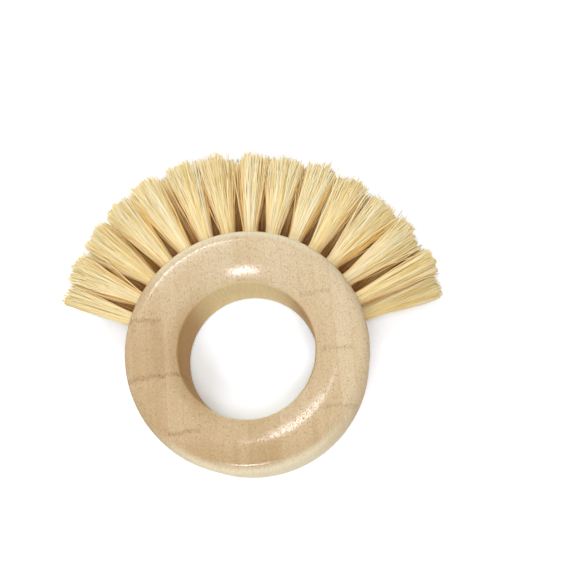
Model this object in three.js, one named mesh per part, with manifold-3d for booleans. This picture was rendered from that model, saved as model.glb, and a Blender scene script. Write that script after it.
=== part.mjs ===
// Ring-handled vegetable brush. A turned bamboo ring is drilled radially, in two staggered rows, over the
// upper part of its outer wall. Each hole holds a tuft of plant fibre that is doubled over a flat wire anchor,
// and the anchor's ends bite into the wood on both sides of the hole.
//
// Millimetres, +Z up. The brush lies flat, with the ring's axis along Z and the bristle fan towards +Y.
// The origin is the middle of the underside of the whole brush's box.
import * as THREE from "three";
import { mergeVertices } from "three/addons/utils/BufferGeometryUtils.js";
import Module from "manifold-3d";

const wasm = await Module();
wasm.setup();

// Ring handle
const RING_RADIUS = 41; // outer wall
const BORE_RADIUS = 23; // finger hole
const RING_THICKNESS = 33;
const OUTER_ROUND = 4.5; // radius of the rounded outer edges
const INNER_SLOPE_WIDTH = 8.5; // how far the rounded slope round the finger hole reaches across each face
const INNER_SLOPE_DEPTH = 3; // how far it has dropped where it meets the bore
const RING_SEGMENTS = 60;
const EDGE_STEPS = 2; // each rounded edge has twice this many facets

// Tuft holes
const TUFTS_PER_ROW = 14;
const ROW_SPACING = 10; // between the two rows, along the ring's axis
const HOLE_PITCH = 7.55; // between hole centres of a row, along the outer wall
const HOLE_RADIUS = 2.4;
const HOLE_DEPTH = 8;
const HOLE_SIDES = 12;

// Tufts
const BRISTLE_LENGTH = 28; // from the outer wall to the longest tips
const TRIM_UNEVENNESS = 1.6; // how much shorter the shortest strands are
const TRIM_STEPS = 5; // strand lengths in a tuft, evenly spaced
const STRANDS_PER_TUFT = 16;
const STRAND_SIDES = 3;
const STRAND_ROOT_RADIUS = 0.34;
const STRAND_TIP_RADIUS = 0.62;
const STRAND_SINK = 0.8; // how far each strand is rooted in the folded base
const TUFT_TIP_GAP = 1.2; // between the tips of neighbouring tufts in a row
const ROW_TIP_GAP = 0.8; // between the tips of the two rows
const FOLD_THICKNESS = 1.6; // fibre under the anchor, where the tuft is doubled over

// Flat wire anchors
const ANCHOR_HEIGHT = 2;
const ANCHOR_THICKNESS = 0.6;
const ANCHOR_BITE = 0.8; // into the wood at each side of the hole
const ANCHOR_CHAMFER = 0.5; // leading corners

const FIT_GAP = 0.3; // between a piece and its seat

const BAMBOO = new THREE.MeshStandardMaterial({ color: 0xe1caa7, roughness: 0.42, metalness: 0 });
const FIBRE = new THREE.MeshStandardMaterial({ color: 0xe8d5a0, roughness: 0.75, metalness: 0 });
const STEEL = new THREE.MeshStandardMaterial({ color: 0xb8babd, roughness: 0.35, metalness: 1 });

// Solids and meshes

function solidOf(geometry) {
  const bare = geometry.clone();
  bare.deleteAttribute("normal");
  bare.deleteAttribute("uv");
  const merged = mergeVertices(bare);
  return new wasm.Manifold(
    new wasm.Mesh({
      numProp: 3,
      vertProperties: new Float32Array(merged.attributes.position.array),
      triVerts: new Uint32Array(merged.index.array),
    }),
  );
}

function meshOf(name, solid, material) {
  const { vertProperties, triVerts } = solid.getMesh();
  const geometry = new THREE.BufferGeometry();
  geometry.setAttribute("position", new THREE.BufferAttribute(vertProperties, 3));
  geometry.setIndex(new THREE.BufferAttribute(triVerts, 1));
  geometry.computeVertexNormals();
  const mesh = new THREE.Mesh(geometry, material);
  mesh.name = name;
  return mesh;
}

// Seats: where each tuft goes. A seat's own +Y points out of the hole, its origin is at the hole's mouth, its X
// runs along the wall and its Z along the ring's axis. The back row is the front row turned over about Y.

const PITCH_ANGLE = HOLE_PITCH / RING_RADIUS;
const STAGGER = PITCH_ANGLE / 4; // each row is turned this much, in opposite directions

function seatsOf(row, turnedOver) {
  return Array.from({ length: TUFTS_PER_ROW }, (_, place) => {
    const number = turnedOver ? TUFTS_PER_ROW - place : place + 1;
    const angle = (place - (TUFTS_PER_ROW - 1) / 2) * PITCH_ANGLE + STAGGER;
    const over = new THREE.Matrix4().makeRotationY(turnedOver ? Math.PI : 0);
    const around = new THREE.Matrix4().makeRotationZ(angle);
    const outward = new THREE.Matrix4().makeTranslation(0, RING_RADIUS, ROW_SPACING / 2);
    return {
      place,
      nameOf: (piece) => `${row}_${piece}_${String(number).padStart(2, "0")}`,
      matrix: over.multiply(around).multiply(outward),
    };
  });
}

const SEATS = [...seatsOf("front", false), ...seatsOf("back", true)];

// Heights in a seat's frame, measured from the hole's mouth
const FOLD_BOTTOM = -HOLE_DEPTH + FIT_GAP;
const ANCHOR_BOTTOM = FOLD_BOTTOM + FOLD_THICKNESS + FIT_GAP;
const ANCHOR_TOP = ANCHOR_BOTTOM + ANCHOR_HEIGHT;
const ANCHOR_REACH = HOLE_RADIUS + ANCHOR_BITE; // to each side of the hole's axis

// The slot that an anchor lies in, cut through the folded fibre and into the wood
function anchorSlot() {
  const width = ANCHOR_THICKNESS + 2 * FIT_GAP;
  const height = ANCHOR_HEIGHT + 2 * FIT_GAP;
  const length = 2 * (ANCHOR_REACH + FIT_GAP);
  const middle = (ANCHOR_BOTTOM + ANCHOR_TOP) / 2;
  return solidOf(new THREE.BoxGeometry(width, height, length).translate(0, middle, 0));
}

// Ring handle

function ringBlank() {
  const half = RING_THICKNESS / 2;
  const quarter = Math.PI / 2;
  const outer = RING_RADIUS - OUTER_ROUND;
  // The slope is an arc that leaves the face level, limited by the wall that it is cut in.
  const slopeWidth = Math.min(INNER_SLOPE_WIDTH, outer - BORE_RADIUS);
  const slopeRadius = (slopeWidth ** 2 + INNER_SLOPE_DEPTH ** 2) / (2 * INNER_SLOPE_DEPTH);
  const slopeSweep = Math.atan2(slopeWidth, slopeRadius - INNER_SLOPE_DEPTH);
  const crest = BORE_RADIUS + slopeWidth;
  const section = new THREE.Path();
  section.absarc(outer, OUTER_ROUND - half, OUTER_ROUND, -quarter, 0, false);
  section.absarc(outer, half - OUTER_ROUND, OUTER_ROUND, 0, quarter, false);
  section.absarc(crest, half - slopeRadius, slopeRadius, quarter, quarter + slopeSweep, false);
  section.absarc(crest, slopeRadius - half, slopeRadius, -quarter - slopeSweep, -quarter, false);
  section.closePath();
  return new THREE.LatheGeometry(section.getPoints(EDGE_STEPS), RING_SEGMENTS).rotateX(quarter);
}

function tuftHole() {
  const proud = HOLE_RADIUS; // the drill runs past the wall
  const length = HOLE_DEPTH + proud;
  const bore = new THREE.CylinderGeometry(HOLE_RADIUS, HOLE_RADIUS, length, HOLE_SIDES);
  return solidOf(bore.translate(0, proud - length / 2, 0)).add(anchorSlot());
}

function ringHandle() {
  const hole = tuftHole();
  const drilled = SEATS.reduce(
    (ring, seat) => ring.subtract(hole.transform(seat.matrix.elements)),
    solidOf(ringBlank()),
  );
  return meshOf("ring_handle", drilled, BAMBOO);
}

// Tufts

const GOLDEN_ANGLE = Math.PI * (3 - Math.sqrt(5));
const PLUG_RADIUS = HOLE_RADIUS - FIT_GAP;
const TIP_RADIUS = RING_RADIUS + BRISTLE_LENGTH;
const ROOT_SPREAD = PLUG_RADIUS - STRAND_ROOT_RADIUS - FIT_GAP / 2;

// Half the width and depth of a tuft at its tips, to the strands' centres. Neighbours spread until they nearly
// touch, so the width comes from the angle between seats and the depth from the space between the rows.
const TIP_SPREAD_ALONG = TIP_RADIUS * Math.tan(PITCH_ANGLE / 2) - TUFT_TIP_GAP / 2 - STRAND_TIP_RADIUS;
const TIP_SPREAD_ACROSS = ROW_SPACING / 2 - ROW_TIP_GAP / 2 - STRAND_TIP_RADIUS;

// A strand from the folded base to its tip. Strands fill the tuft in a sunflower spiral and fan out evenly from
// base to tip, so that none crosses another. Their lengths take turns, differently in neighbouring tufts.
function strand(number, place) {
  const share = Math.sqrt((number + 0.5) / STRANDS_PER_TUFT);
  const turn = number * GOLDEN_ANGLE;
  const along = share * Math.cos(turn);
  const across = share * Math.sin(turn);
  const shorter = ((number * 2 + place * 3) % TRIM_STEPS) / (TRIM_STEPS - 1);
  const root = new THREE.Vector3(along * ROOT_SPREAD, 0, across * ROOT_SPREAD);
  const tip = new THREE.Vector3(
    along * TIP_SPREAD_ALONG,
    BRISTLE_LENGTH - TRIM_UNEVENNESS * shorter,
    across * TIP_SPREAD_ACROSS,
  );
  const heading = tip.clone().sub(root).normalize();
  root.addScaledVector(heading, -STRAND_SINK);
  const length = tip.distanceTo(root);
  const turned = new THREE.Quaternion().setFromUnitVectors(new THREE.Vector3(0, 1, 0), heading);
  const middle = root.clone().lerp(tip, 0.5);
  return new THREE.CylinderGeometry(STRAND_TIP_RADIUS, STRAND_ROOT_RADIUS, length, STRAND_SIDES)
    .applyQuaternion(turned)
    .translate(middle.x, middle.y, middle.z);
}

// The doubled-over base that fills the hole, with the slot where the anchor lies across the fold
function foldedBase() {
  const height = -FOLD_BOTTOM;
  const plug = new THREE.CylinderGeometry(PLUG_RADIUS, PLUG_RADIUS, height, HOLE_SIDES);
  return solidOf(plug.translate(0, -height / 2, 0)).subtract(anchorSlot());
}

function tuft(seat) {
  const strands = Array.from({ length: STRANDS_PER_TUFT }, (_, number) => solidOf(strand(number, seat.place)));
  const whole = strands.reduce((made, next) => made.add(next), foldedBase());
  return meshOf(seat.nameOf("tuft"), whole, FIBRE);
}

// Anchors

function anchor(seat) {
  const outline = new THREE.Shape();
  outline.moveTo(-ANCHOR_REACH, ANCHOR_TOP);
  outline.lineTo(-ANCHOR_REACH, ANCHOR_BOTTOM + ANCHOR_CHAMFER);
  outline.lineTo(-ANCHOR_REACH + ANCHOR_CHAMFER, ANCHOR_BOTTOM);
  outline.lineTo(ANCHOR_REACH - ANCHOR_CHAMFER, ANCHOR_BOTTOM);
  outline.lineTo(ANCHOR_REACH, ANCHOR_BOTTOM + ANCHOR_CHAMFER);
  outline.lineTo(ANCHOR_REACH, ANCHOR_TOP);
  outline.closePath();
  const plate = new THREE.ExtrudeGeometry(outline, { depth: ANCHOR_THICKNESS, bevelEnabled: false });
  plate.translate(0, 0, -ANCHOR_THICKNESS / 2).rotateY(Math.PI / 2);
  return meshOf(seat.nameOf("anchor"), solidOf(plate), STEEL);
}

// The brush

const brush = new THREE.Group();
brush.add(ringHandle());
for (const seat of SEATS) {
  const seated = new THREE.Group();
  seated.applyMatrix4(seat.matrix);
  seated.add(tuft(seat), anchor(seat));
  brush.add(seated);
}

const extent = new THREE.Box3().setFromObject(brush, true);
const centre = extent.getCenter(new THREE.Vector3());
brush.position.set(-centre.x, -centre.y, -extent.min.z);

const part = new THREE.Group();
part.add(brush);
export default part;
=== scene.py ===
"""Ring-handled vegetable brush: a lacquered bamboo ring and two staggered rows of plant-fibre tufts.

Metres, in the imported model's frame. Sizes that the frame doesn't give are in millimetres, times MM.
"""
import math
from collections import namedtuple
from contextlib import contextmanager
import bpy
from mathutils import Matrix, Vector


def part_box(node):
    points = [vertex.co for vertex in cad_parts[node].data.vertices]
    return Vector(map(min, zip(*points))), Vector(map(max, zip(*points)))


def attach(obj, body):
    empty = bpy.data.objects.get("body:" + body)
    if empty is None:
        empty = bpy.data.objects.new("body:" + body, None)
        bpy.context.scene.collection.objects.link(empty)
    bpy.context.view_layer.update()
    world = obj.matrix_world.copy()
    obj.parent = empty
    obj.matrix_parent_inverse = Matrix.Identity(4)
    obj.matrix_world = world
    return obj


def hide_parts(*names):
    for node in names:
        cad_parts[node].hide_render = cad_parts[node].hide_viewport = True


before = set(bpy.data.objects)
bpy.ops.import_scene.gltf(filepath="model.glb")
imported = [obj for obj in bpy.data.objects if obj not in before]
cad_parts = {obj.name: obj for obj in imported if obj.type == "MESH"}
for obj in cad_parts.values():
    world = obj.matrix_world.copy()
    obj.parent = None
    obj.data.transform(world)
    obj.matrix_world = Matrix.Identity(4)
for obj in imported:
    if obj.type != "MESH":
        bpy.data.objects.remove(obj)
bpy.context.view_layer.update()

from types import SimpleNamespace

import bmesh
import bpy
import numpy as np
from mathutils import Matrix, Vector

MM = 0.001
GOLDEN_ANGLE = math.pi * (3 - math.sqrt(5))

# Ring, from the frame where it gives the size
RING_LOW, RING_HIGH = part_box("ring_handle")
RING_CENTRE = (RING_LOW + RING_HIGH) / 2
RING_RADIUS = (RING_HIGH.x - RING_LOW.x) / 2
RING_THICKNESS = RING_HIGH.z - RING_LOW.z
RING_STEPS = 180
SMOOTH_ANGLE = math.radians(30)
BORE_RADIUS = 23 * MM

# The slope between the bore and each face, and the bend in it: out from the bore, down from the face
SLOPE_WIDTH = 8.5 * MM
SLOPE_DEPTH = 3.2 * MM
BEND_WIDTH = 3.6 * MM
BEND_DEPTH = 1.4 * MM

# Rounded corners of the ring's section: how far each reaches, and its steps
FACE_ROUND = (1.9 * MM, 6)
BEND_ROUND = (2.9 * MM, 6)
CREASE_ROUND = (0.7 * MM, 3)
OUTER_ROUND = (4 * MM, 10)
WALL_CUTS = 7

# How close a vertex lies to where it is looked for, and how close two are that become one
NEAR = 0.01 * MM
MERGE_DISTANCE = 0.001 * MM

# Tuft holes, and the slots for the anchors
TUFTS_PER_ROW = 14
ROW_SPACING = 10 * MM
HOLE_PITCH = 7.55 * MM
PITCH_ANGLE = HOLE_PITCH / RING_RADIUS
STAGGER = PITCH_ANGLE / 4
HOLE_RADIUS = 2.4 * MM
HOLE_DEPTH = 8 * MM
HOLE_SIDES = 36
FIT_GAP = 0.3 * MM
FOLD_THICKNESS = 1.6 * MM
ANCHOR_THICKNESS = 0.6 * MM
ANCHOR_HEIGHT = 2 * MM
ANCHOR_BITE = 0.8 * MM
SLOT_WIDTH = ANCHOR_THICKNESS + 2 * FIT_GAP
SLOT_HEIGHT = ANCHOR_HEIGHT + 2 * FIT_GAP
SLOT_LENGTH = 2 * (HOLE_RADIUS + ANCHOR_BITE + FIT_GAP)
SLOT_BOTTOM = -HOLE_DEPTH + FIT_GAP + FOLD_THICKNESS

# A fibre. It has four sides, so that its ends are four-cornered as its sides are.
FIBRE_SIDES = 4
FIBRE_STEPS = 5
FIBRE_RADIUS = 0.17 * MM
FIBRE_RADIUS_RANGE = (0.75, 1.25)
FIBRE_FLATNESS = 0.75
FIBRE_TAPER = 0.3
FIBRE_ROOT = -3 * MM
WAVES_PER_FIBRE = 1.1
WAVE_RANGE = (0.1 * MM, 0.9 * MM)
ROW_END_WAVE_RANGE = (0.1 * MM, 0.4 * MM)
CURL_RANGE = (-0.4, 0.5)

# A tuft's fibres at the hole, where they are spread evenly but for a small turn, in radians
FIBRES_PER_TUFT = 420
ROOT_SPREAD = 2.15 * MM
ROOT_TURN = 0.25

# The same fibres at their tips, where they gather in wisps
WISPS_PER_TUFT = 15
WISP_PULL = 0.5
TIP_SPREAD_ALONG = {"front": 5 * MM, "back": 6 * MM}
TIP_SPREAD_ACROSS = 4.1 * MM
TUFT_SPREAD_RANGE = (0.85, 1.15)
FIBRE_SPREAD_RANGE = (0.7, 1.3)
TUFT_LEAN = 1 * MM
STRAY_SHARE = 0.12
SCATTER_ALONG = 1.1 * MM
STRAY_SCATTER_ALONG = 2.8 * MM
ROW_END_SCATTER_ALONG = 0.5 * MM
SCATTER_ACROSS = 0.8 * MM
TUFT_DOME = 0.8 * MM
TRIM_SCATTER = 0.6 * MM

# A fibre's tone, as the two values of a beta distribution, and how far the tones of wisps differ
TONE_SHAPE = (2.4, 1.5)
WISP_TONE_SCATTER = 0.09

# How far the fibres shade as their tuft does: in all, towards its two sides, and how far past its
# middle, as a share of its radius, they still lean to the side that shows
TUFT_SHADING = 2
SHADING_ALONG = 0.2
SHADING_PAST_MIDDLE = 0.3

# Margins in the fibres' map, as shares of a fibre's column and of its length
COLUMN_MARGIN = 0.1
END_MARGIN = 0.01

# How far the fan was trimmed from the ring, by the angle from +X in degrees
PLAIN_TRIM = 29 * MM
FAN_TRIM = (
    (20, PLAIN_TRIM),
    (40, 28.5 * MM),
    (55, 29.5 * MM),
    (75, 28.8 * MM),
    (95, 29.4 * MM),
    (116, 31.6 * MM),
    (130, 29.8 * MM),
    (140, 28.7 * MM),
    (150, 27.5 * MM),
    (162, 25.6 * MM),
)

# How far the tufts spread at their tips, as a share, by the same angle
FAN_SPREAD = (
    (20, 1),
    (60, 0.97),
    (90, 0.9),
    (115, 0.95),
    (135, 1.02),
    (150, 1.2),
    (165, 1.25),
)

# The tufts at the ends of the rows: the outer side in the seat's X, the share of the spread that the
# tuft keeps on that side, how much painted shade its inner fibres get, and the side in the seat's Z that
# shows
RowEnd = namedtuple("RowEnd", "outer_side kept brown facing")
ROW_ENDS = {
    ("front", 1): RowEnd(1, 0.7, 1, 1),
    ("front", TUFTS_PER_ROW): RowEnd(-1, 0.15, 0.3, 1),
    ("back", 1): RowEnd(-1, 0.7, 0.3, -1),
    ("back", TUFTS_PER_ROW): RowEnd(1, 0.3, 0.6, 1),
}

# Where the seeds of each row's tufts start
ROW_SEEDS = {"front": 0, "back": 100}

# Camera: where it stands from the ring's centre, and where the photograph has that centre
IMAGE_SIZE = 576
RING_IN_IMAGE = (250.5, 356)
CAMERA_LEAN = Vector((0.098, -0.155, 1))
CAMERA_DISTANCE = 350 * MM
CAMERA_ROLL = math.radians(2)
PIXELS_PER_METRE = 2888
SENSOR_WIDTH = 36
CLIP_START = 0.01

# Lamps: direction and distance from the ring's centre, size and power, in metres and watts, and whether
# each shows in the lacquer
Lamp = namedtuple("Lamp", "direction distance size power in_lacquer")
LAMPS = {
    "fill": Lamp(CAMERA_LEAN, 0.8, (0.26, 0.26), 2.1, False),
    "key": Lamp((-0.35, 0.8, 0.5), 1.1, (0.4, 0.4), 2.2, False),
    "front": Lamp((0, -0.65, 0.76), 1.1, (0.6, 0.6), 2.1, False),
    "window": Lamp((-0.287, 0.441, 0.829), 0.9, (0.26, 0.26), 1.41, True),
    "strip": Lamp((-0.1, -0.44, 0.892), 0.9, (0.17, 0.12), 0.88, True),
}

# The lamps that show in the lacquer are a little cool, and the world is a little warm
HIGHLIGHT_TINT = (0.97, 0.98, 1.03)
SKY_TINT = (1.01, 0.99, 0.95, 1)
SKY_STRENGTH = 0.31

# Floor, just under the brush
FLOOR_SIZE = 6
FLOOR_DROP = 0.05 * MM


def srgb(red, green, blue):
    """A colour as it looks on screen, 0 to 255, in the linear values that a shader takes."""
    def linear(level):
        share = level / 255
        return share / 12.92 if share <= 0.04045 else ((share + 0.055) / 1.055) ** 2.4
    return (linear(red), linear(green), linear(blue), 1)


# Modelling by operators

def deselect():
    bpy.ops.object.select_all(action="DESELECT")


def activate(obj):
    deselect()
    obj.select_set(True)
    bpy.context.view_layer.objects.active = obj


@contextmanager
def editing(obj):
    activate(obj)
    bpy.ops.object.mode_set(mode="EDIT")
    bpy.ops.mesh.select_mode(type="VERT")
    yield
    bpy.ops.object.mode_set(mode="OBJECT")


def pick(obj, test):
    """Selects the vertices of the mesh being edited whose place passes the test."""
    mesh = bmesh.from_edit_mesh(obj.data)
    bpy.ops.mesh.select_all(action="DESELECT")
    for vertex in mesh.verts:
        vertex.select = test(vertex.co)
    mesh.select_flush(True)
    bmesh.update_edit_mesh(obj.data)


def settle():
    """Moves the active object's place, turn and scale into its mesh."""
    bpy.ops.object.transform_apply(location=True, rotation=True, scale=True)


def round_corners(offset, segments):
    bpy.ops.mesh.bevel(offset=offset, segments=segments, affect="VERTICES")


def turn_faces_out():
    """Turns all the faces of the mesh being edited outwards."""
    bpy.ops.mesh.select_all(action="SELECT")
    bpy.ops.mesh.normals_make_consistent(inside=False)


def remove(obj):
    bpy.data.objects.remove(obj, do_unlink=True)


# Seats of the tufts: +Y out of the hole, origin at its mouth, X along the wall, Z along the ring's axis

def seats(turned_over):
    """The seats of one row, from its right end to its left. The back row is the front one turned over."""
    over = Matrix.Rotation(math.pi if turned_over else 0, 4, "Y")
    middle = Matrix.Translation(RING_CENTRE) @ over
    outward = Matrix.Translation((0, RING_RADIUS, ROW_SPACING / 2))
    row = []
    for place in range(TUFTS_PER_ROW):
        turn = (place - (TUFTS_PER_ROW - 1) / 2) * PITCH_ANGLE + STAGGER
        row.append(middle @ Matrix.Rotation(turn, 4, "Z") @ outward)
    return row[::-1] if turned_over else row


SEATS = {"front": seats(False), "back": seats(True)}
ALL_SEATS = SEATS["front"] + SEATS["back"]


# Ring

def ring_section():
    """The ring's section as a closed loop of edges in the XZ plane, out from the axis."""
    wall = RING_RADIUS - BORE_RADIUS
    slope_top = RING_THICKNESS / 2 - SLOPE_DEPTH
    face_end = BORE_RADIUS + SLOPE_WIDTH
    slope_middle = BORE_RADIUS + SLOPE_WIDTH / 2
    bend = BORE_RADIUS + BEND_WIDTH
    deselect()
    bpy.ops.mesh.primitive_plane_add(
        size=1, location=(BORE_RADIUS + wall / 2, 0, 0), rotation=(math.pi / 2, 0, 0),
    )
    section = bpy.context.object
    section.name = "bamboo_ring"
    section.scale = (wall, RING_THICKNESS, 1)
    settle()
    with editing(section):
        # Each slope is a chamfer that is drawn out over the face and bent once.
        pick(section, lambda co: co.x < BORE_RADIUS + NEAR)
        round_corners(SLOPE_DEPTH, 1)
        pick(section, lambda co: abs(co.x - BORE_RADIUS - SLOPE_DEPTH) < NEAR)
        bpy.ops.transform.translate(value=(SLOPE_WIDTH - SLOPE_DEPTH, 0, 0))
        for side in (1, -1):
            pick(section, lambda co: co.x < face_end + NEAR and co.z * side > slope_top - NEAR)
            bpy.ops.mesh.subdivide(number_cuts=1)
            pick(section, lambda co: abs(co.x - slope_middle) < NEAR and co.z * side > 0)
            lift = side * (SLOPE_DEPTH / 2 - BEND_DEPTH)
            bpy.ops.transform.translate(value=(bend - slope_middle, 0, lift))
        pick(section, lambda co: abs(co.x - face_end) < NEAR)
        round_corners(*FACE_ROUND)
        pick(section, lambda co: abs(co.x - bend) < NEAR)
        round_corners(*BEND_ROUND)
        pick(section, lambda co: co.x < BORE_RADIUS + NEAR)
        round_corners(*CREASE_ROUND)
        pick(section, lambda co: co.x > RING_RADIUS - NEAR)
        round_corners(*OUTER_ROUND)
        pick(section, lambda co: abs(co.x - RING_RADIUS) < NEAR)
        bpy.ops.mesh.subdivide(number_cuts=WALL_CUTS)
        bpy.ops.mesh.select_all(action="SELECT")
        bpy.ops.mesh.delete(type="ONLY_FACE")
    return section


def at_seats(template):
    """One object with a copy of the template at each seat. The template is used up."""
    deselect()
    for seat in ALL_SEATS:
        placed = template.copy()
        placed.data = template.data.copy()
        placed.matrix_world = seat
        bpy.context.collection.objects.link(placed)
        placed.select_set(True)
        bpy.context.view_layer.objects.active = placed
    remove(template)
    bpy.ops.object.join()
    settle()
    return bpy.context.object


def hole_cutter():
    proud = HOLE_RADIUS
    length = HOLE_DEPTH + proud
    deselect()
    bpy.ops.mesh.primitive_cylinder_add(
        vertices=HOLE_SIDES, radius=HOLE_RADIUS, depth=length,
        location=(0, proud - length / 2, 0), rotation=(math.pi / 2, 0, 0),
    )
    settle()
    return at_seats(bpy.context.object)


def slot_cutter():
    deselect()
    bpy.ops.mesh.primitive_cube_add(size=1, location=(0, SLOT_BOTTOM + SLOT_HEIGHT / 2, 0))
    slot = bpy.context.object
    slot.scale = (SLOT_WIDTH, SLOT_HEIGHT, SLOT_LENGTH)
    settle()
    return at_seats(slot)


def cut(piece, cutter):
    """Cuts the cutter out of the piece. The cutter is used up."""
    hole = piece.modifiers.new("cut", "BOOLEAN")
    hole.operation = "DIFFERENCE"
    hole.solver = "EXACT"
    hole.object = cutter
    activate(piece)
    bpy.ops.object.modifier_apply(modifier=hole.name)
    remove(cutter)


def bamboo_ring():
    ring = ring_section()
    with editing(ring):
        bpy.ops.mesh.select_all(action="SELECT")
        bpy.ops.mesh.spin(steps=RING_STEPS, angle=2 * math.pi, center=(0, 0, 0), axis=(0, 0, 1))
        bpy.ops.mesh.select_all(action="SELECT")
        bpy.ops.mesh.remove_doubles(threshold=MERGE_DISTANCE)
        turn_faces_out()
    ring.location = RING_CENTRE
    activate(ring)
    settle()
    cut(ring, hole_cutter())
    cut(ring, slot_cutter())
    activate(ring)
    bpy.ops.object.shade_smooth_by_angle(angle=SMOOTH_ANGLE)
    return ring


# Tufts

def fibre_template():
    """A fibre of unit radius and unit length along Z, as (vertices, four-cornered faces)."""
    deselect()
    bpy.ops.mesh.primitive_circle_add(vertices=FIBRE_SIDES, radius=1, fill_type="NGON")
    fibre = bpy.context.object
    step = {"value": (0, 0, 1 / FIBRE_STEPS)}
    with editing(fibre):
        bpy.ops.mesh.select_all(action="SELECT")
        for _ in range(FIBRE_STEPS):
            bpy.ops.mesh.extrude_region_move(TRANSFORM_OT_translate=step)
        turn_faces_out()
    vertices = np.array([vertex.co for vertex in fibre.data.vertices])
    faces = np.array([face.vertices for face in fibre.data.polygons])
    remove(fibre)
    return vertices, faces


def spiral(count):
    """Points spread evenly over a unit disc: how far each is from the middle, and its turn."""
    step = np.arange(count)
    return np.sqrt((step + 0.5) / count), step * GOLDEN_ANGLE


def by_angle(table, angle):
    """The value that a table of the fan has at an angle in radians."""
    return np.interp(np.degrees(angle), *zip(*table))


def gather(chance, along, across):
    """Pulls the places of a tuft's fibres into wisps. Gives each fibre's wisp and its new place."""
    share, turn = spiral(WISPS_PER_TUFT)
    wisp_along = share * np.cos(turn)
    wisp_across = share * np.sin(turn)
    squared_distance = (along[:, None] - wisp_along) ** 2 + (across[:, None] - wisp_across) ** 2
    wisp = np.argmin(squared_distance, axis=1)
    pull = chance.uniform(0, WISP_PULL, WISPS_PER_TUFT)[wisp]
    gathered_along = along + (wisp_along[wisp] - along) * pull
    gathered_across = across + (wisp_across[wisp] - across) * pull
    return wisp, gathered_along, gathered_across


def draw_fibres(seat, spread, seed, row_end):
    """The fibres of a tuft, drawn at random: where each starts and ends, its bends and its tone.

    In the seat's frame, along is X and across is Z. A tuft at an end of its row is drawn in on its outer
    side, and it has no stray fibres.
    """
    chance = np.random.default_rng(seed)
    count = FIBRES_PER_TUFT
    share, turn = spiral(count)
    turn = turn + chance.uniform(-ROOT_TURN, ROOT_TURN, count)
    along = share * np.cos(turn)
    across = share * np.sin(turn)
    wisp, gathered_along, gathered_across = gather(chance, along, across)

    stray = chance.random(count) < STRAY_SHARE
    scatter = np.where(stray, STRAY_SCATTER_ALONG, SCATTER_ALONG)
    if row_end:
        scatter = ROW_END_SCATTER_ALONG
    heading = seat.to_3x3() @ Vector((0, 1, 0))
    angle = math.atan2(heading.y, heading.x)
    spread = spread * by_angle(FAN_SPREAD, angle) * chance.uniform(*TUFT_SPREAD_RANGE)
    tip_along = gathered_along * spread * chance.uniform(*FIBRE_SPREAD_RANGE, count)
    tip_along += np.clip(chance.normal(0, 1, count) * scatter, -spread, spread)
    if row_end:
        outside = tip_along * row_end.outer_side > 0
        tip_along = np.where(outside, tip_along * row_end.kept, tip_along)
    else:
        tip_along += chance.normal(0, TUFT_LEAN)
    tip_across = gathered_across * TIP_SPREAD_ACROSS
    tip_across += chance.normal(0, 1, count) * SCATTER_ACROSS

    tip_angle = angle - np.arctan2(tip_along, RING_RADIUS + PLAIN_TRIM)
    reach = RING_RADIUS + by_angle(FAN_TRIM, tip_angle)
    tip_height = np.sqrt(reach ** 2 - tip_along ** 2) - RING_RADIUS
    tip_height -= TUFT_DOME * share ** 2
    tip_height += chance.normal(0, 1, count) * TRIM_SCATTER
    tip_height += chance.normal(0, 1, WISPS_PER_TUFT)[wisp] * TRIM_SCATTER

    wave = chance.uniform(*(ROW_END_WAVE_RANGE if row_end else WAVE_RANGE), (2, count))
    phase = chance.uniform(0, 2 * math.pi, (2, count))
    curl = chance.uniform(*CURL_RANGE, count)
    facing = row_end.facing if row_end else 1
    # 0 on the side of the tuft that shows, 1 on the far side: it thickens the fibres and sets their
    # painted shade
    inner = (1 - across * facing) / 2
    radius = FIBRE_RADIUS * chance.uniform(*FIBRE_RADIUS_RANGE, count) * (1 + inner)
    twist = chance.uniform(0, math.pi, count)
    tone = chance.beta(*TONE_SHAPE, count)
    tone += chance.normal(0, WISP_TONE_SCATTER, WISPS_PER_TUFT)[wisp]
    upward = facing * np.clip(across * facing + SHADING_PAST_MIDDLE, 0, None)
    return SimpleNamespace(
        along=along, across=across,
        tip_along=tip_along, tip_across=tip_across, tip_height=tip_height,
        wave=wave, phase=phase, curl=curl, radius=radius, twist=twist,
        tone=np.clip(tone, 0, 1), brown=inner * (row_end.brown if row_end else 1),
        outward=np.stack([SHADING_ALONG * along, np.zeros(count), upward], axis=1),
    )


def bend_fibres(fibres, corners):
    """The template's corners on every fibre, in the seat's frame, and how far out each of them is.

    That is 0 at the hole's mouth and inside it, and 1 at the fibre's tip.
    """
    tip_height = fibres.tip_height[:, None]
    height = FIBRE_ROOT + (tip_height - FIBRE_ROOT) * corners[:, 2]
    out = np.clip(height / tip_height, 0, None)
    curl = fibres.curl[:, None]
    flare = out * (1 - curl) + out ** 2 * curl
    swing = np.sin(out * 2 * math.pi * WAVES_PER_FIBRE + fibres.phase[..., None])
    sway = swing * fibres.wave[..., None] * out
    thick = fibres.radius[:, None] * (1 - FIBRE_TAPER * out ** 3)
    side_x = corners[:, 0] * thick
    side_z = corners[:, 1] * thick * FIBRE_FLATNESS
    cosine = np.cos(fibres.twist)[:, None]
    sine = np.sin(fibres.twist)[:, None]
    x = ROOT_SPREAD * fibres.along[:, None] * (1 - flare) + fibres.tip_along[:, None] * flare
    z = ROOT_SPREAD * fibres.across[:, None] * (1 - flare) + fibres.tip_across[:, None] * flare
    x = x + sway[0] + side_x * cosine - side_z * sine
    z = z + sway[1] + side_x * sine + side_z * cosine
    return np.stack([x, height, z], axis=-1).reshape(-1, 3), out.ravel()


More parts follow.
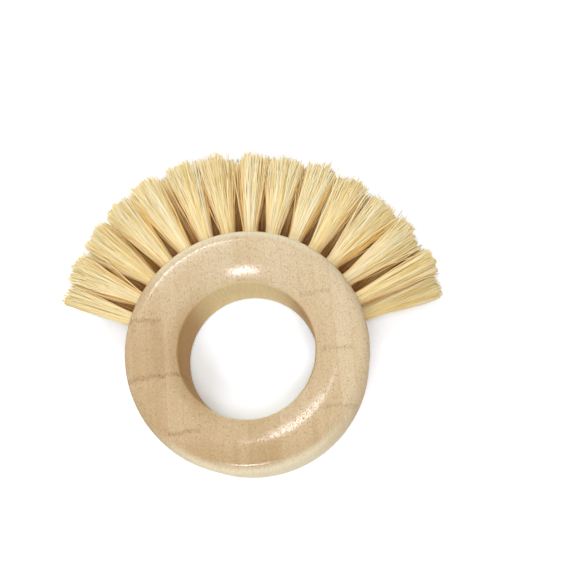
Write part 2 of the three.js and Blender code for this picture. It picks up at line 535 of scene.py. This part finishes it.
def tuft(name, seat, spread, seed, template, row_end):
    """A tuft of fibres that fan out from its hole, each a bent copy of the template."""
    corners, faces = template
    fibres = draw_fibres(seat, spread, seed, row_end)
    local, out = bend_fibres(fibres, corners)
    turned = np.array(seat.to_3x3()).T
    points = local @ turned + np.array(seat.translation)
    first_corners = np.arange(FIBRES_PER_TUFT) * len(corners)
    all_faces = (faces[None] + first_corners[:, None, None]).reshape(-1, faces.shape[1])
    mesh = bpy.data.meshes.new(name)
    mesh.from_pydata(points.tolist(), [], all_faces[:, ::-1].tolist())
    mesh.polygons.foreach_set("use_smooth", np.ones(len(all_faces), dtype=bool))
    store(mesh, "tone", np.repeat(fibres.tone, len(corners)))
    store(mesh, "along", out)
    # The inner attribute holds how much painted shade each fibre gets.
    store(mesh, "inner", np.repeat(fibres.brown, len(corners)))
    bake_map(mesh, corners)
    piece = bpy.data.objects.new(name, mesh)
    bpy.context.collection.objects.link(piece)
    with editing(piece):
        turn_faces_out()
    outward = np.repeat(fibres.outward @ turned, len(corners), axis=0)
    cut_end = corners[faces][:, :, 2].min(axis=1) > 1 - 0.5 / FIBRE_STEPS
    lean_normals(mesh, TUFT_SHADING * outward, np.tile(cut_end, FIBRES_PER_TUFT))
    return piece


def lean_normals(mesh, outward, cut_ends):
    """Leans each fibre's shading towards the outside of its tuft, so that this shades as one soft body.

    The faces at the cut ends keep their own.
    """
    own = np.empty(len(mesh.vertices) * 3, dtype=np.float32)
    mesh.vertices.foreach_get("normal", own)
    leaning = own.reshape(-1, 3) + outward
    leaning /= np.linalg.norm(leaning, axis=1, keepdims=True)
    flat = np.empty(len(mesh.polygons) * 3, dtype=np.float32)
    mesh.polygons.foreach_get("normal", flat)
    sides = len(mesh.loops) // len(mesh.polygons)
    at_cut = np.repeat(cut_ends, sides)[:, None]
    face_normals = np.repeat(flat.reshape(-1, 3), sides, axis=0)
    corner_normals = np.where(at_cut, face_normals, leaning[loop_vertices(mesh)])
    mesh.normals_split_custom_set(corner_normals.tolist())


def loop_vertices(mesh):
    """The vertex at each corner of each face."""
    vertices = np.empty(len(mesh.loops), dtype=np.int32)
    mesh.loops.foreach_get("vertex_index", vertices)
    return vertices


def store(mesh, name, values):
    attribute = mesh.attributes.new(name, "FLOAT", "POINT")
    attribute.data.foreach_set("value", values.astype(np.float32))


def bake_map(mesh, corners):
    """A map in which each fibre is a column of its own, root to tip."""
    fibre, corner = np.divmod(loop_vertices(mesh), len(corners))
    across = (corners[corner, 0] + 1) / 2
    u = (fibre + COLUMN_MARGIN + (1 - 2 * COLUMN_MARGIN) * across) / FIBRES_PER_TUFT
    v = END_MARGIN + (1 - 2 * END_MARGIN) * corners[corner, 2]
    layer = mesh.uv_layers.new(name="OFBake")
    layer.uv.foreach_set("vector", np.stack([u, v], axis=1).astype(np.float32).ravel())


# Finishes

class Signal:
    """One output of a shader node. Arithmetic on it adds Math nodes."""

    def __init__(self, finish, socket):
        self.finish = finish
        self.socket = socket

    def math(self, operation, *values):
        inputs = dict(enumerate(values))
        return self.finish.node("ShaderNodeMath", "Value", {"operation": operation}, inputs)

    def __add__(self, other):
        return self.math("ADD", self, other)

    def __radd__(self, other):
        return self.math("ADD", other, self)

    def __sub__(self, other):
        return self.math("SUBTRACT", self, other)

    def __rsub__(self, other):
        return self.math("SUBTRACT", other, self)

    def __mul__(self, other):
        return self.math("MULTIPLY", self, other)

    def __rmul__(self, other):
        return self.math("MULTIPLY", other, self)

    def __truediv__(self, other):
        return self.math("DIVIDE", self, other)

    def __abs__(self):
        return self.math("ABSOLUTE", self)

    def root(self):
        return self.math("SQRT", self)

    def floor(self):
        return self.math("FLOOR", self)

    def fraction(self):
        return self.math("FRACT", self)

    def above(self, limit):
        return self.math("GREATER_THAN", self, limit)

    def is_about(self, value, within):
        return self.math("COMPARE", self, value, within)

    def larger(self, other):
        return self.math("MAXIMUM", self, other)

    def swing(self, amount):
        """A signal from 0 to 1 as a swing about 0, as wide as the amount."""
        return (self - 0.5) * amount

    def at_least(self, least):
        """A signal from 0 to 1, squeezed to run from the least to 1."""
        return least + (1 - least) * self

    def rise(self, start, end):
        """0 before start, 1 after end, and smooth between. It falls where start is the larger."""
        return self.finish.node(
            "ShaderNodeMapRange", "Result", {"interpolation_type": "SMOOTHSTEP"},
            {"Value": self, "From Min": start, "From Max": end},
        )


class Finish:
    """A material with one Principled shader, whose nodes are added by calls."""

    def __init__(self, name, constants):
        self.material = bpy.data.materials.new(name)
        self.material.use_nodes = True
        self.tree = self.material.node_tree
        self.shader = self.tree.nodes["Principled BSDF"]
        self.set_inputs(constants)

    def feed(self, socket, value):
        if isinstance(value, Signal):
            self.tree.links.new(value.socket, socket)
        else:
            socket.default_value = value

    def set_inputs(self, inputs):
        """Sets or links inputs of the Principled shader."""
        for name, value in inputs.items():
            self.feed(self.shader.inputs[name], value)

    def cover(self, surface):
        """Puts another shader in the place of the Principled one."""
        self.feed(self.tree.nodes["Material Output"].inputs["Surface"], surface)

    def node(self, kind, output, settings=None, inputs=None):
        """A node's output, or a list of them where output is a tuple of names."""
        made = self.tree.nodes.new(kind)
        for name, value in (settings or {}).items():
            setattr(made, name, value)
        for key, value in (inputs or {}).items():
            self.feed(made.inputs[key], value)
        if isinstance(output, tuple):
            return [Signal(self, made.outputs[name]) for name in output]
        return Signal(self, made.outputs[output])

    def place(self):
        return self.node("ShaderNodeTexCoord", "Object")

    def attribute(self, name):
        return self.node("ShaderNodeAttribute", "Fac", {"attribute_name": name})

    def ramp(self, value, stops):
        """The colour that stops of (place, colour) have at a value."""
        made = self.tree.nodes.new("ShaderNodeValToRGB")
        elements = made.color_ramp.elements
        for place, _ in stops[len(elements):]:
            elements.new(place)
        for element, (place, colour) in zip(elements, stops):
            element.position = place
            element.color = colour
        self.feed(made.inputs["Fac"], value)
        return Signal(self, made.outputs["Color"])

    def mix(self, share, first, second):
        settings = {"data_type": "RGBA"}
        return self.node("ShaderNodeMix", 2, settings, {0: share, 6: first, 7: second})

    def mix_shaders(self, share, first, second):
        return self.node("ShaderNodeMixShader", "Shader", None, {0: share, 1: first, 2: second})

    def diffuse(self, colour):
        return self.node("ShaderNodeBsdfDiffuse", "BSDF", None, {"Color": colour})

    def vector(self, x, y, z):
        return self.node("ShaderNodeCombineXYZ", "Vector", None, {"X": x, "Y": y, "Z": z})

    def split(self, vector):
        return self.node("ShaderNodeSeparateXYZ", ("X", "Y", "Z"), None, {"Vector": vector})

    def noise(self, vector, scale, detail):
        inputs = {"Vector": vector, "Scale": scale, "Detail": detail}
        return self.node("ShaderNodeTexNoise", "Fac", None, inputs)

    def cells(self, vector, scale):
        """The distance from the nearest of many scattered points, and that point's own colour."""
        inputs = {"Vector": vector, "Scale": scale}
        return self.node("ShaderNodeTexVoronoi", ("Distance", "Color"), None, inputs)

    def bump(self, height, distance, strength):
        inputs = {"Height": height, "Distance": distance, "Strength": strength}
        return self.node("ShaderNodeBump", "Normal", None, inputs)


# Bamboo, in millimetres from the ring's centre. A fade is where a signal starts and where it is full.
LACQUER = {"Specular IOR Level": 0.3, "Coat Roughness": 0.17, "Coat IOR": 1.86}
BORE_FADE = (BORE_RADIUS / MM + 0.8, BORE_RADIUS / MM - 0.1)
WALL_FADE = (RING_RADIUS / MM - 3.5, RING_RADIUS / MM - 1)
BARE_WALL_FADE = (RING_RADIUS / MM - 2.2, RING_RADIUS / MM - 0.8)
END_GRAIN_FADE = (0.5, 0.95)

# Strips, in two plies. Each strip reads the patterns at a place of its own.
STRIP_WIDTH = 5.2
STRIP_SHIFT = 1.3
PLY_SHIFT = 0.37
STRIP_SEED = 3.7
STRIP_JUMP_ACROSS = 61
STRIP_JUMP_ALONG = 17
GRAIN_LEAN = math.radians(3)
SEAM_FADE = (0.48, 0.5)
PLY_SEAM_FADE = (0.15, 0.04)

# Patterns: how much each is drawn out along the grain, its scale and its detail
STREAKS = (0.05, 2.4, 3)
BANDS = (0.04, 0.35, 2)
MOTTLE = (0.6, 2.8, 1)
RAGGED_EDGE = (0.2, 1.2, 2)
MOTTLE_FADE = (0.36, 0.64)

# Tool lines along the bore: how much they are drawn out, their scale and their detail
TOOL_LINES = (0.08, 1.5, 2)
TOOL_LINE_FADE = (0.42, 0.6)

# Fibre bundles cut across, on the end grain: how much they are drawn out, and their scale
BUNDLES = (0.05, 1.3)
BUNDLE_FADE = (0.42, 0.1)

# Pores, and the dull lacquer round them
PORE_PITCH = 0.62
PORE_PITCH_ALONG = 1
PORE_FADE = (0.5, 0.1)
PORE_LEAST = 0.3
DULL_FADE = (0.62, 0.22)

# Rows of darker pores at the nodes of the cane: the strip, and the place along it
NODE_MARKS = (
    (-8, -7), (-7, -6.6), (-6, -6.2), (-5, -5.8),
    (-8, 12.8), (-7, 13.2), (-6, 12.6),
    (5, -2.4), (6, -2.8),
    (4, -21.8), (5, -21.4), (6, -22.2),
    (4, 16.4), (5, 16.8),
    (-5, -25.6), (-4, -25),
)
MARK_RAGGEDNESS = 2.4
MARK_FADE = (1.1, 0.2)
MARK_LEAST = 0.3
MARK_STRENGTH_LEFT = 0.85
MARK_STRENGTH_RIGHT = 0.5

# Tones, from 0 to 1: in the middle, for each millimetre, for each pattern, and in darker parts: painted
# shade towards the bottom and on the left slope, and a darker patch of the wood
TONE_MIDDLE = 0.53
TONE_ACROSS = 0.003
TONE_ALONG = 0.004
STRIP_TONE = 0.26
BAND_TONE = 0.32
STREAK_TONE = 0.1
# Painted shade towards the bottom of the ring: where it starts and where it is full, and how much darker
BOTTOM_FADE = (-22, -38)
PAINTED_BOTTOM_SHADE = 0.24
# Painted shade on the left part of the slope into the bore, which faces away from the light
SLOPE_SHADE_FADE = (28, 24)
SLOPE_SHADE_LEFT_FADE = (-6, -24)
PAINTED_SLOPE_SHADE = 0.26
PATCH_LEFT_FADE = (-26, -27)
PATCH_BOTTOM_FADE = (-7, -6)
PATCH_TOP_FADE = (13, 12)
PATCH_TONE = 0.1
BAMBOO_TONES = (
    (0.0, srgb(197, 164, 117)),
    (0.4, srgb(222, 196, 154)),
    (0.65, srgb(232, 210, 172)),
    (1.0, srgb(240, 222, 189)),
)

# Colours of the bare walls, partly the grain's own and partly painted light and shade, and of what lies
# on the tones, with their strengths
# The bore's sides, along the grain, are darker with painted shade; its top and bottom, across the grain,
# are lighter with painted light
BORE_SIDE_SHADED_COLOUR = srgb(200, 160, 100)
BORE_END_LIT_COLOUR = srgb(255, 238, 184)
BORE_STRENGTH = 0.95
# The outer wall at the ring's top and bottom, across the grain: partly the end grain's own colour, and
# lighter with painted light
WALL_END_LIT_COLOUR = srgb(255, 243, 210)
WALL_STRENGTH = 0.85
WALL_FAINTNESS = 0.65
MOTTLE_COLOUR = srgb(160, 114, 62)
MOTTLE_STRENGTH = 0.24
PORE_COLOUR = srgb(152, 108, 60)
PORE_STRENGTH = 0.52
GLUE_COLOUR = srgb(172, 134, 88)
GLUE_STRENGTH = 0.25
MARK_COLOUR = srgb(128, 90, 50)
TOOL_LINE_COLOUR = srgb(184, 132, 62)
TOOL_LINE_STRENGTH = 0.1
BUNDLE_COLOUR = srgb(176, 130, 74)
BUNDLE_STRENGTH = 0.28

# Surface
BARE_ROUGHNESS = 0.7
LACQUER_SMOOTHNESS = 0.42
PORE_ROUGHNESS = 0.12
PORE_DULLNESS = 0.65
MOTTLE_DULLNESS = 0.3
GLUE_GROOVE = 0.4
BUMP_DEPTH = 0.08 * MM
BUMP_STRENGTH = 0.7


def bamboo_patterns(finish):
    """The signals that make up laminated bamboo: strips along Y in two plies, pores, glue and nodes."""
    grain = finish.node(
        "ShaderNodeMapping", "Vector", {"vector_type": "TEXTURE"},
        {
            "Vector": finish.place(),
            "Location": RING_CENTRE,
            "Rotation": (0, 0, GRAIN_LEAN),
            "Scale": (MM, MM, MM),
        },
    )
    x, y, z = finish.split(grain)
    reach = (x * x + y * y).root()
    bore = reach.rise(*BORE_FADE)
    end_grain = (abs(y) / reach).rise(*END_GRAIN_FADE)

    ply = z.above(0)
    strip_place = (x + STRIP_SHIFT) / STRIP_WIDTH + PLY_SHIFT * (1 - ply)
    strip = strip_place.floor()
    own_place = finish.vector(strip, ply, STRIP_SEED)
    own = finish.node("ShaderNodeTexWhiteNoise", "Value", None, {"Vector": own_place})
    shifted = x + own * STRIP_JUMP_ACROSS
    seams = abs(strip_place.fraction() - 0.5).rise(*SEAM_FADE)

    def pattern(across, drawn_out, *scale_and_detail):
        return finish.noise(finish.vector(across, y * drawn_out, z), *scale_and_detail)

    pore_place = finish.vector(
        shifted / PORE_PITCH,
        (y + own * STRIP_JUMP_ALONG) / PORE_PITCH_ALONG,
        z / PORE_PITCH,
    )
    pore_distance, pore_colour = finish.cells(pore_place, 1)
    pore_depth = finish.node("ShaderNodeSeparateColor", "Red", None, {"Color": pore_colour})
    pores = pore_distance.rise(*PORE_FADE) * pore_depth.at_least(PORE_LEAST)

    ragged = pattern(x, *RAGGED_EDGE)
    marks = None
    for number, height in NODE_MARKS:
        row = abs(y - height + ragged.swing(MARK_RAGGEDNESS)).rise(*MARK_FADE)
        mark = row * strip.is_about(number, 0.5)
        marks = mark if marks is None else marks.larger(mark)

    drawn_out, tool_scale, tool_detail = TOOL_LINES
    tool_lines = finish.noise(finish.vector(x, y, z * drawn_out), tool_scale, tool_detail)
    drawn_out, bundle_scale = BUNDLES
    bundle_distance, _ = finish.cells(finish.vector(shifted, y * drawn_out, z), bundle_scale)
    return SimpleNamespace(
        x=x, y=y, reach=reach, own=own,
        bore=bore, end_wall=reach.rise(*WALL_FADE) * end_grain, end_grain=end_grain,
        lacquered=1 - bore.larger(reach.rise(*BARE_WALL_FADE)),
        streaks=pattern(shifted, *STREAKS),
        bands=pattern(shifted, *BANDS),
        mottle=pattern(shifted, *MOTTLE).rise(*MOTTLE_FADE),
        pores=pores,
        dull=pore_distance.rise(*DULL_FADE),
        glue=seams.larger(abs(z).rise(*PLY_SEAM_FADE)),
        marks=marks * ply * pores.at_least(MARK_LEAST),
        tool_lines=tool_lines.rise(*TOOL_LINE_FADE),
        bundles=bundle_distance.rise(*BUNDLE_FADE),
    )


def lacquered_bamboo():
    """Laminated bamboo with a satin lacquer on its faces. The bore and the outer wall are bare."""
    finish = Finish("lacquered_bamboo", LACQUER)
    wood = bamboo_patterns(finish)
    x, y = wood.x, wood.y

    tone = TONE_MIDDLE + x * TONE_ACROSS + y * TONE_ALONG
    # Painted shade: the tone is darker towards the bottom of the ring.
    tone = tone - y.rise(*BOTTOM_FADE) * PAINTED_BOTTOM_SHADE
    # Painted shade on the left slope, which faces away from the light.
    tone = tone - wood.reach.rise(*SLOPE_SHADE_FADE) * x.rise(*SLOPE_SHADE_LEFT_FADE) * PAINTED_SLOPE_SHADE
    patch = x.rise(*PATCH_LEFT_FADE) * y.rise(*PATCH_BOTTOM_FADE) * y.rise(*PATCH_TOP_FADE)
    tone = tone - patch * PATCH_TONE
    tone = tone + wood.own.swing(STRIP_TONE)
    tone = tone + wood.bands.swing(BAND_TONE) + wood.streaks.swing(STREAK_TONE)
    colour = finish.ramp(tone, BAMBOO_TONES)
    # The bore: partly the grain's own colour, with painted light at its top and bottom and painted shade
    # at its sides.
    bore_grain_and_light = finish.mix(wood.end_grain, BORE_SIDE_SHADED_COLOUR, BORE_END_LIT_COLOUR)
    faint = 1 - WALL_FAINTNESS * wood.bore.larger(wood.end_wall)
    right = x.above(0)
    mark_strength = MARK_STRENGTH_LEFT - (MARK_STRENGTH_LEFT - MARK_STRENGTH_RIGHT) * right
    for share, layer in (
        (wood.bore * BORE_STRENGTH, bore_grain_and_light),
        # Painted light on the outer wall at the ring's top and bottom, partly the end grain's own colour
        (wood.end_wall * WALL_STRENGTH, WALL_END_LIT_COLOUR),
        (wood.mottle * faint * MOTTLE_STRENGTH, MOTTLE_COLOUR),
        (wood.pores * faint * PORE_STRENGTH, PORE_COLOUR),
        (wood.glue * GLUE_STRENGTH, GLUE_COLOUR),
        (wood.marks * mark_strength, MARK_COLOUR),
        (wood.bore * wood.tool_lines * TOOL_LINE_STRENGTH, TOOL_LINE_COLOUR),
        (wood.bundles * wood.end_wall * BUNDLE_STRENGTH, BUNDLE_COLOUR),
    ):
        colour = finish.mix(share, colour, layer)

    shine = 1 - PORE_DULLNESS * wood.dull - MOTTLE_DULLNESS * wood.mottle
    relief = 0 - wood.pores - wood.mottle - wood.glue * GLUE_GROOVE
    finish.set_inputs({
        "Base Color": colour,
        "Roughness": (
            BARE_ROUGHNESS - wood.lacquered * LACQUER_SMOOTHNESS + wood.pores * PORE_ROUGHNESS
        ),
        "Coat Weight": wood.lacquered * shine,
        "Normal": finish.bump(relief, BUMP_DEPTH, BUMP_STRENGTH),
    })
    return finish.material


# Straw, by the attributes that the tufts store
STRAW_TONES = (
    (0.0, srgb(232, 190, 112)),
    (0.3, srgb(247, 221, 152)),
    (0.65, srgb(255, 236, 182)),
    (1.0, srgb(255, 244, 208)),
)
SPECKLE_SCALE = 900
SPECKLE_DETAIL = 2
SPECKLE_TONE = 0.3
# Painted shade: the inner fibres, deep in the tuft, are gold, fading out towards the tips
GOLDEN_SHADE_COLOUR = srgb(224, 164, 66)
GOLDEN_SHADE_STRENGTH = 0.54
GOLDEN_SHADE_INNER_FADE = (0.05, 0.55)
GOLDEN_SHADE_ALONG_FADE = (1.1, 0.6)
# Painted shade at the roots, strongest on the inner fibres
ROOT_SHADE_COLOUR = srgb(164, 94, 22)
ROOT_SHADE_FADE = (0.55, 0)
ROOT_SHADE_STRENGTH = 0.05
ROOT_SHADE_STRENGTH_INSIDE = 0.85
STRAW_ROUGHNESS = 0.45
SPECKLE_ROUGHNESS = 0.2


def straw_fibre():
    """Stiff pale plant fibre. Each fibre has its own tone; the inner ones get painted shade, gold along
    them and browner at the roots.
    """
    finish = Finish("straw_fibre", {"Specular IOR Level": 0.2})
    along = finish.attribute("along")
    inner = finish.attribute("inner")
    speckle = finish.noise(finish.place(), SPECKLE_SCALE, SPECKLE_DETAIL)
    tone = finish.attribute("tone") + speckle.swing(SPECKLE_TONE)
    colour = finish.ramp(tone, STRAW_TONES)
    # Painted shade: gold on the inner fibres.
    golden_shade = inner.rise(*GOLDEN_SHADE_INNER_FADE) * along.rise(*GOLDEN_SHADE_ALONG_FADE)
    colour = finish.mix(golden_shade * GOLDEN_SHADE_STRENGTH, colour, GOLDEN_SHADE_COLOUR)
    # Painted shade: the roots are browner, most on the inner fibres.
    root = along.rise(*ROOT_SHADE_FADE) * (ROOT_SHADE_STRENGTH + ROOT_SHADE_STRENGTH_INSIDE * inner)
    colour = finish.mix(root, colour, ROOT_SHADE_COLOUR)
    finish.set_inputs({
        "Base Color": colour,
        "Roughness": STRAW_ROUGHNESS + speckle.swing(SPECKLE_ROUGHNESS),
    })
    return finish.material


# Wire. Its lines are drawn out along Z.
WIRE_TONES = ((0.3, srgb(166, 168, 172)), (0.7, srgb(206, 208, 210)))
WIRE_LINES_DRAWN_OUT = 0.03
WIRE_LINES_SCALE = 6000
WIRE_LINES_DETAIL = 2
WIRE_ROUGHNESS = 0.28
WIRE_LINES_ROUGHNESS = 0.2


def drawn_wire():
    """Flat drawn steel wire, with faint lines along it."""
    finish = Finish("drawn_wire", {"Metallic": 1})
    x, y, z = finish.split(finish.place())
    line_place = finish.vector(x, y, z * WIRE_LINES_DRAWN_OUT)
    lines = finish.noise(line_place, WIRE_LINES_SCALE, WIRE_LINES_DETAIL)
    finish.set_inputs({
        "Base Color": finish.ramp(lines, WIRE_TONES),
        "Roughness": WIRE_ROUGHNESS + lines * WIRE_LINES_ROUGHNESS,
    })
    return finish.material


# Paper. How much brighter the floor shows to the camera than it is, so that all but its shadows is white
PAPER = {"Base Color": srgb(250, 250, 250), "Roughness": 0.9, "Specular IOR Level": 0}
PAPER_GAIN = (1.2, 1.25, 1.34, 1)

# The same inside the ring, where the bore's warm shade falls on the floor and the photograph has plain
# white. The change from one to the other lies under the ring.
HOLE_GAIN = (1.27, 1.42, 1.63, 1)
HOLE_FADE = (BORE_RADIUS + 5 * MM, BORE_RADIUS + 2 * MM)


def white_paper():
    """White paper, overexposed for the camera alone, so that it shows white but keeps the shadow."""
    finish = Finish("white_paper", PAPER)
    camera_ray, glossy_ray, transmission_ray = finish.node(
        "ShaderNodeLightPath", ("Is Camera Ray", "Is Glossy Ray", "Is Transmission Ray"),
    )
    seen = camera_ray.larger(glossy_ray).larger(transmission_ray)
    ring_axis = (RING_CENTRE.x, RING_CENTRE.y, 0)
    reach = finish.node(
        "ShaderNodeVectorMath", "Value", {"operation": "DISTANCE"}, {0: finish.place(), 1: ring_axis},
    )
    in_hole = reach.rise(*HOLE_FADE)
    shown = finish.mix_shaders(in_hole, finish.diffuse(PAPER_GAIN), finish.diffuse(HOLE_GAIN))
    paper = Signal(finish, finish.shader.outputs["BSDF"])
    finish.cover(finish.mix_shaders(seen, paper, shown))
    return finish.material


# Stage

def floor():
    deselect()
    bpy.ops.mesh.primitive_plane_add(size=FLOOR_SIZE, location=(0, 0, -FLOOR_DROP))
    ground = bpy.context.object
    ground.name = "floor"
    settle()
    ground.data.materials.append(white_paper())


def softbox(name, lamp):
    light = bpy.data.lights.new(name, "AREA")
    light.shape = "RECTANGLE"
    light.size, light.size_y = lamp.size
    light.energy = lamp.power
    softbox_object = bpy.data.objects.new(name, light)
    heading = Vector(lamp.direction).normalized()
    softbox_object.location = RING_CENTRE + heading * lamp.distance
    softbox_object.rotation_euler = heading.to_track_quat("Z", "Y").to_euler()
    softbox_object.visible_glossy = lamp.in_lacquer
    if lamp.in_lacquer:
        light.color = HIGHLIGHT_TINT
    bpy.context.collection.objects.link(softbox_object)


def light_stage():
    for name, lamp in LAMPS.items():
        softbox(name, lamp)
    world = bpy.data.worlds.new("studio")
    world.use_nodes = True
    background = world.node_tree.nodes["Background"]
    background.inputs["Color"].default_value = SKY_TINT
    background.inputs["Strength"].default_value = SKY_STRENGTH
    bpy.context.scene.world = world


def camera():
    lens = bpy.data.cameras.new("camera")
    lens.sensor_width = SENSOR_WIDTH
    lens.lens = PIXELS_PER_METRE * CAMERA_DISTANCE / IMAGE_SIZE * SENSOR_WIDTH
    lens.clip_start = CLIP_START
    viewer = bpy.data.objects.new("camera", lens)
    bpy.context.collection.objects.link(viewer)
    back = CAMERA_LEAN.normalized()
    right = Vector((0, 1, 0)).cross(back).normalized()
    right.rotate(Matrix.Rotation(-CAMERA_ROLL, 3, back))
    up = back.cross(right)
    viewer.location = RING_CENTRE + back * CAMERA_DISTANCE
    aim = RING_CENTRE + right * (IMAGE_SIZE / 2 - RING_IN_IMAGE[0]) / PIXELS_PER_METRE
    aim = aim + up * (RING_IN_IMAGE[1] - IMAGE_SIZE / 2) / PIXELS_PER_METRE
    back = (viewer.location - aim).normalized()
    right = up.cross(back).normalized()
    viewer.rotation_euler = Matrix((right, back.cross(right), back)).transposed().to_euler()
    bpy.context.scene.camera = viewer


# The brush

def dress(piece, finish, node):
    piece.data.materials.clear()
    piece.data.materials.append(finish)
    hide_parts(node)
    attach(piece, "root")


def brush():
    dress(bamboo_ring(), lacquered_bamboo(), "ring_handle")
    straw = straw_fibre()
    wire = drawn_wire()
    template = fibre_template()
    for row, row_seats in SEATS.items():
        for number, seat in enumerate(row_seats, start=1):
            name = f"{row}_bristles_{number:02d}"
            seed = ROW_SEEDS[row] + number
            row_end = ROW_ENDS.get((row, number))
            bristles = tuft(name, seat, TIP_SPREAD_ALONG[row], seed, template, row_end)
            dress(bristles, straw, f"{row}_tuft_{number:02d}")
            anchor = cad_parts[f"{row}_anchor_{number:02d}"]
            anchor.material_slots[0].material = wire


brush()
floor()
light_stage()
camera()
bpy.context.scene.view_settings.view_transform = "Standard"
